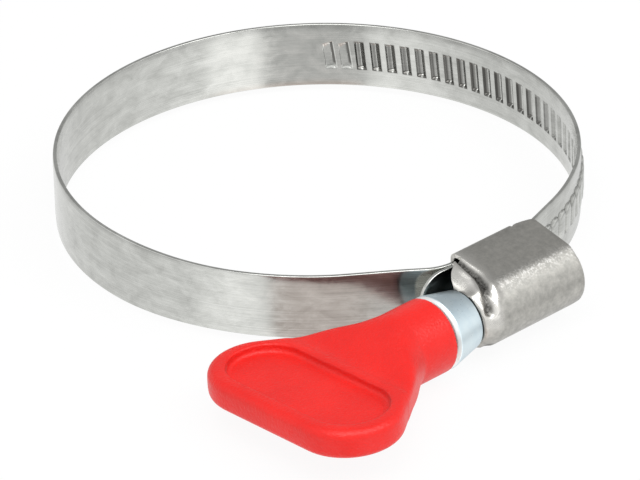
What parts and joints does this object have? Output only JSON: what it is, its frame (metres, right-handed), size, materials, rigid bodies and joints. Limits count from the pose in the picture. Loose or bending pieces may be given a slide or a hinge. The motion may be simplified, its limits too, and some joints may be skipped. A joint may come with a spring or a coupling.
{
  "type": "hose clamp",
  "caption": "Worm-drive hose clamp: a slotted steel band closed by a screw in a formed housing, turned by a plastic wing key.",
  "frame": {"origin": "centre of the ring, halfway across the width of the band", "axes": "+Z along the hose, +X along the screw away from the key, -Y out from the ring through the housing"},
  "size_m": [0.1044, 0.114, 0.0144],
  "materials": {
    "band": "satin",
    "housing": "satin",
    "worm_screw": "satin",
    "wing_key": "satin"
  },
  "bodies": {
    "clamp": {"band": "band", "housing": "housing"},
    "screw": {"worm_screw": "worm_screw", "wing_key": "wing_key"}
  },
  "joints": [
    {"name": "screw_turn", "type": "hinge", "parent": "clamp", "child": "screw", "pos_m": [0, -0.05117, 0], "axis": [1, 0, 0], "continuous": true, "deforming": ["band"]}
  ]
}
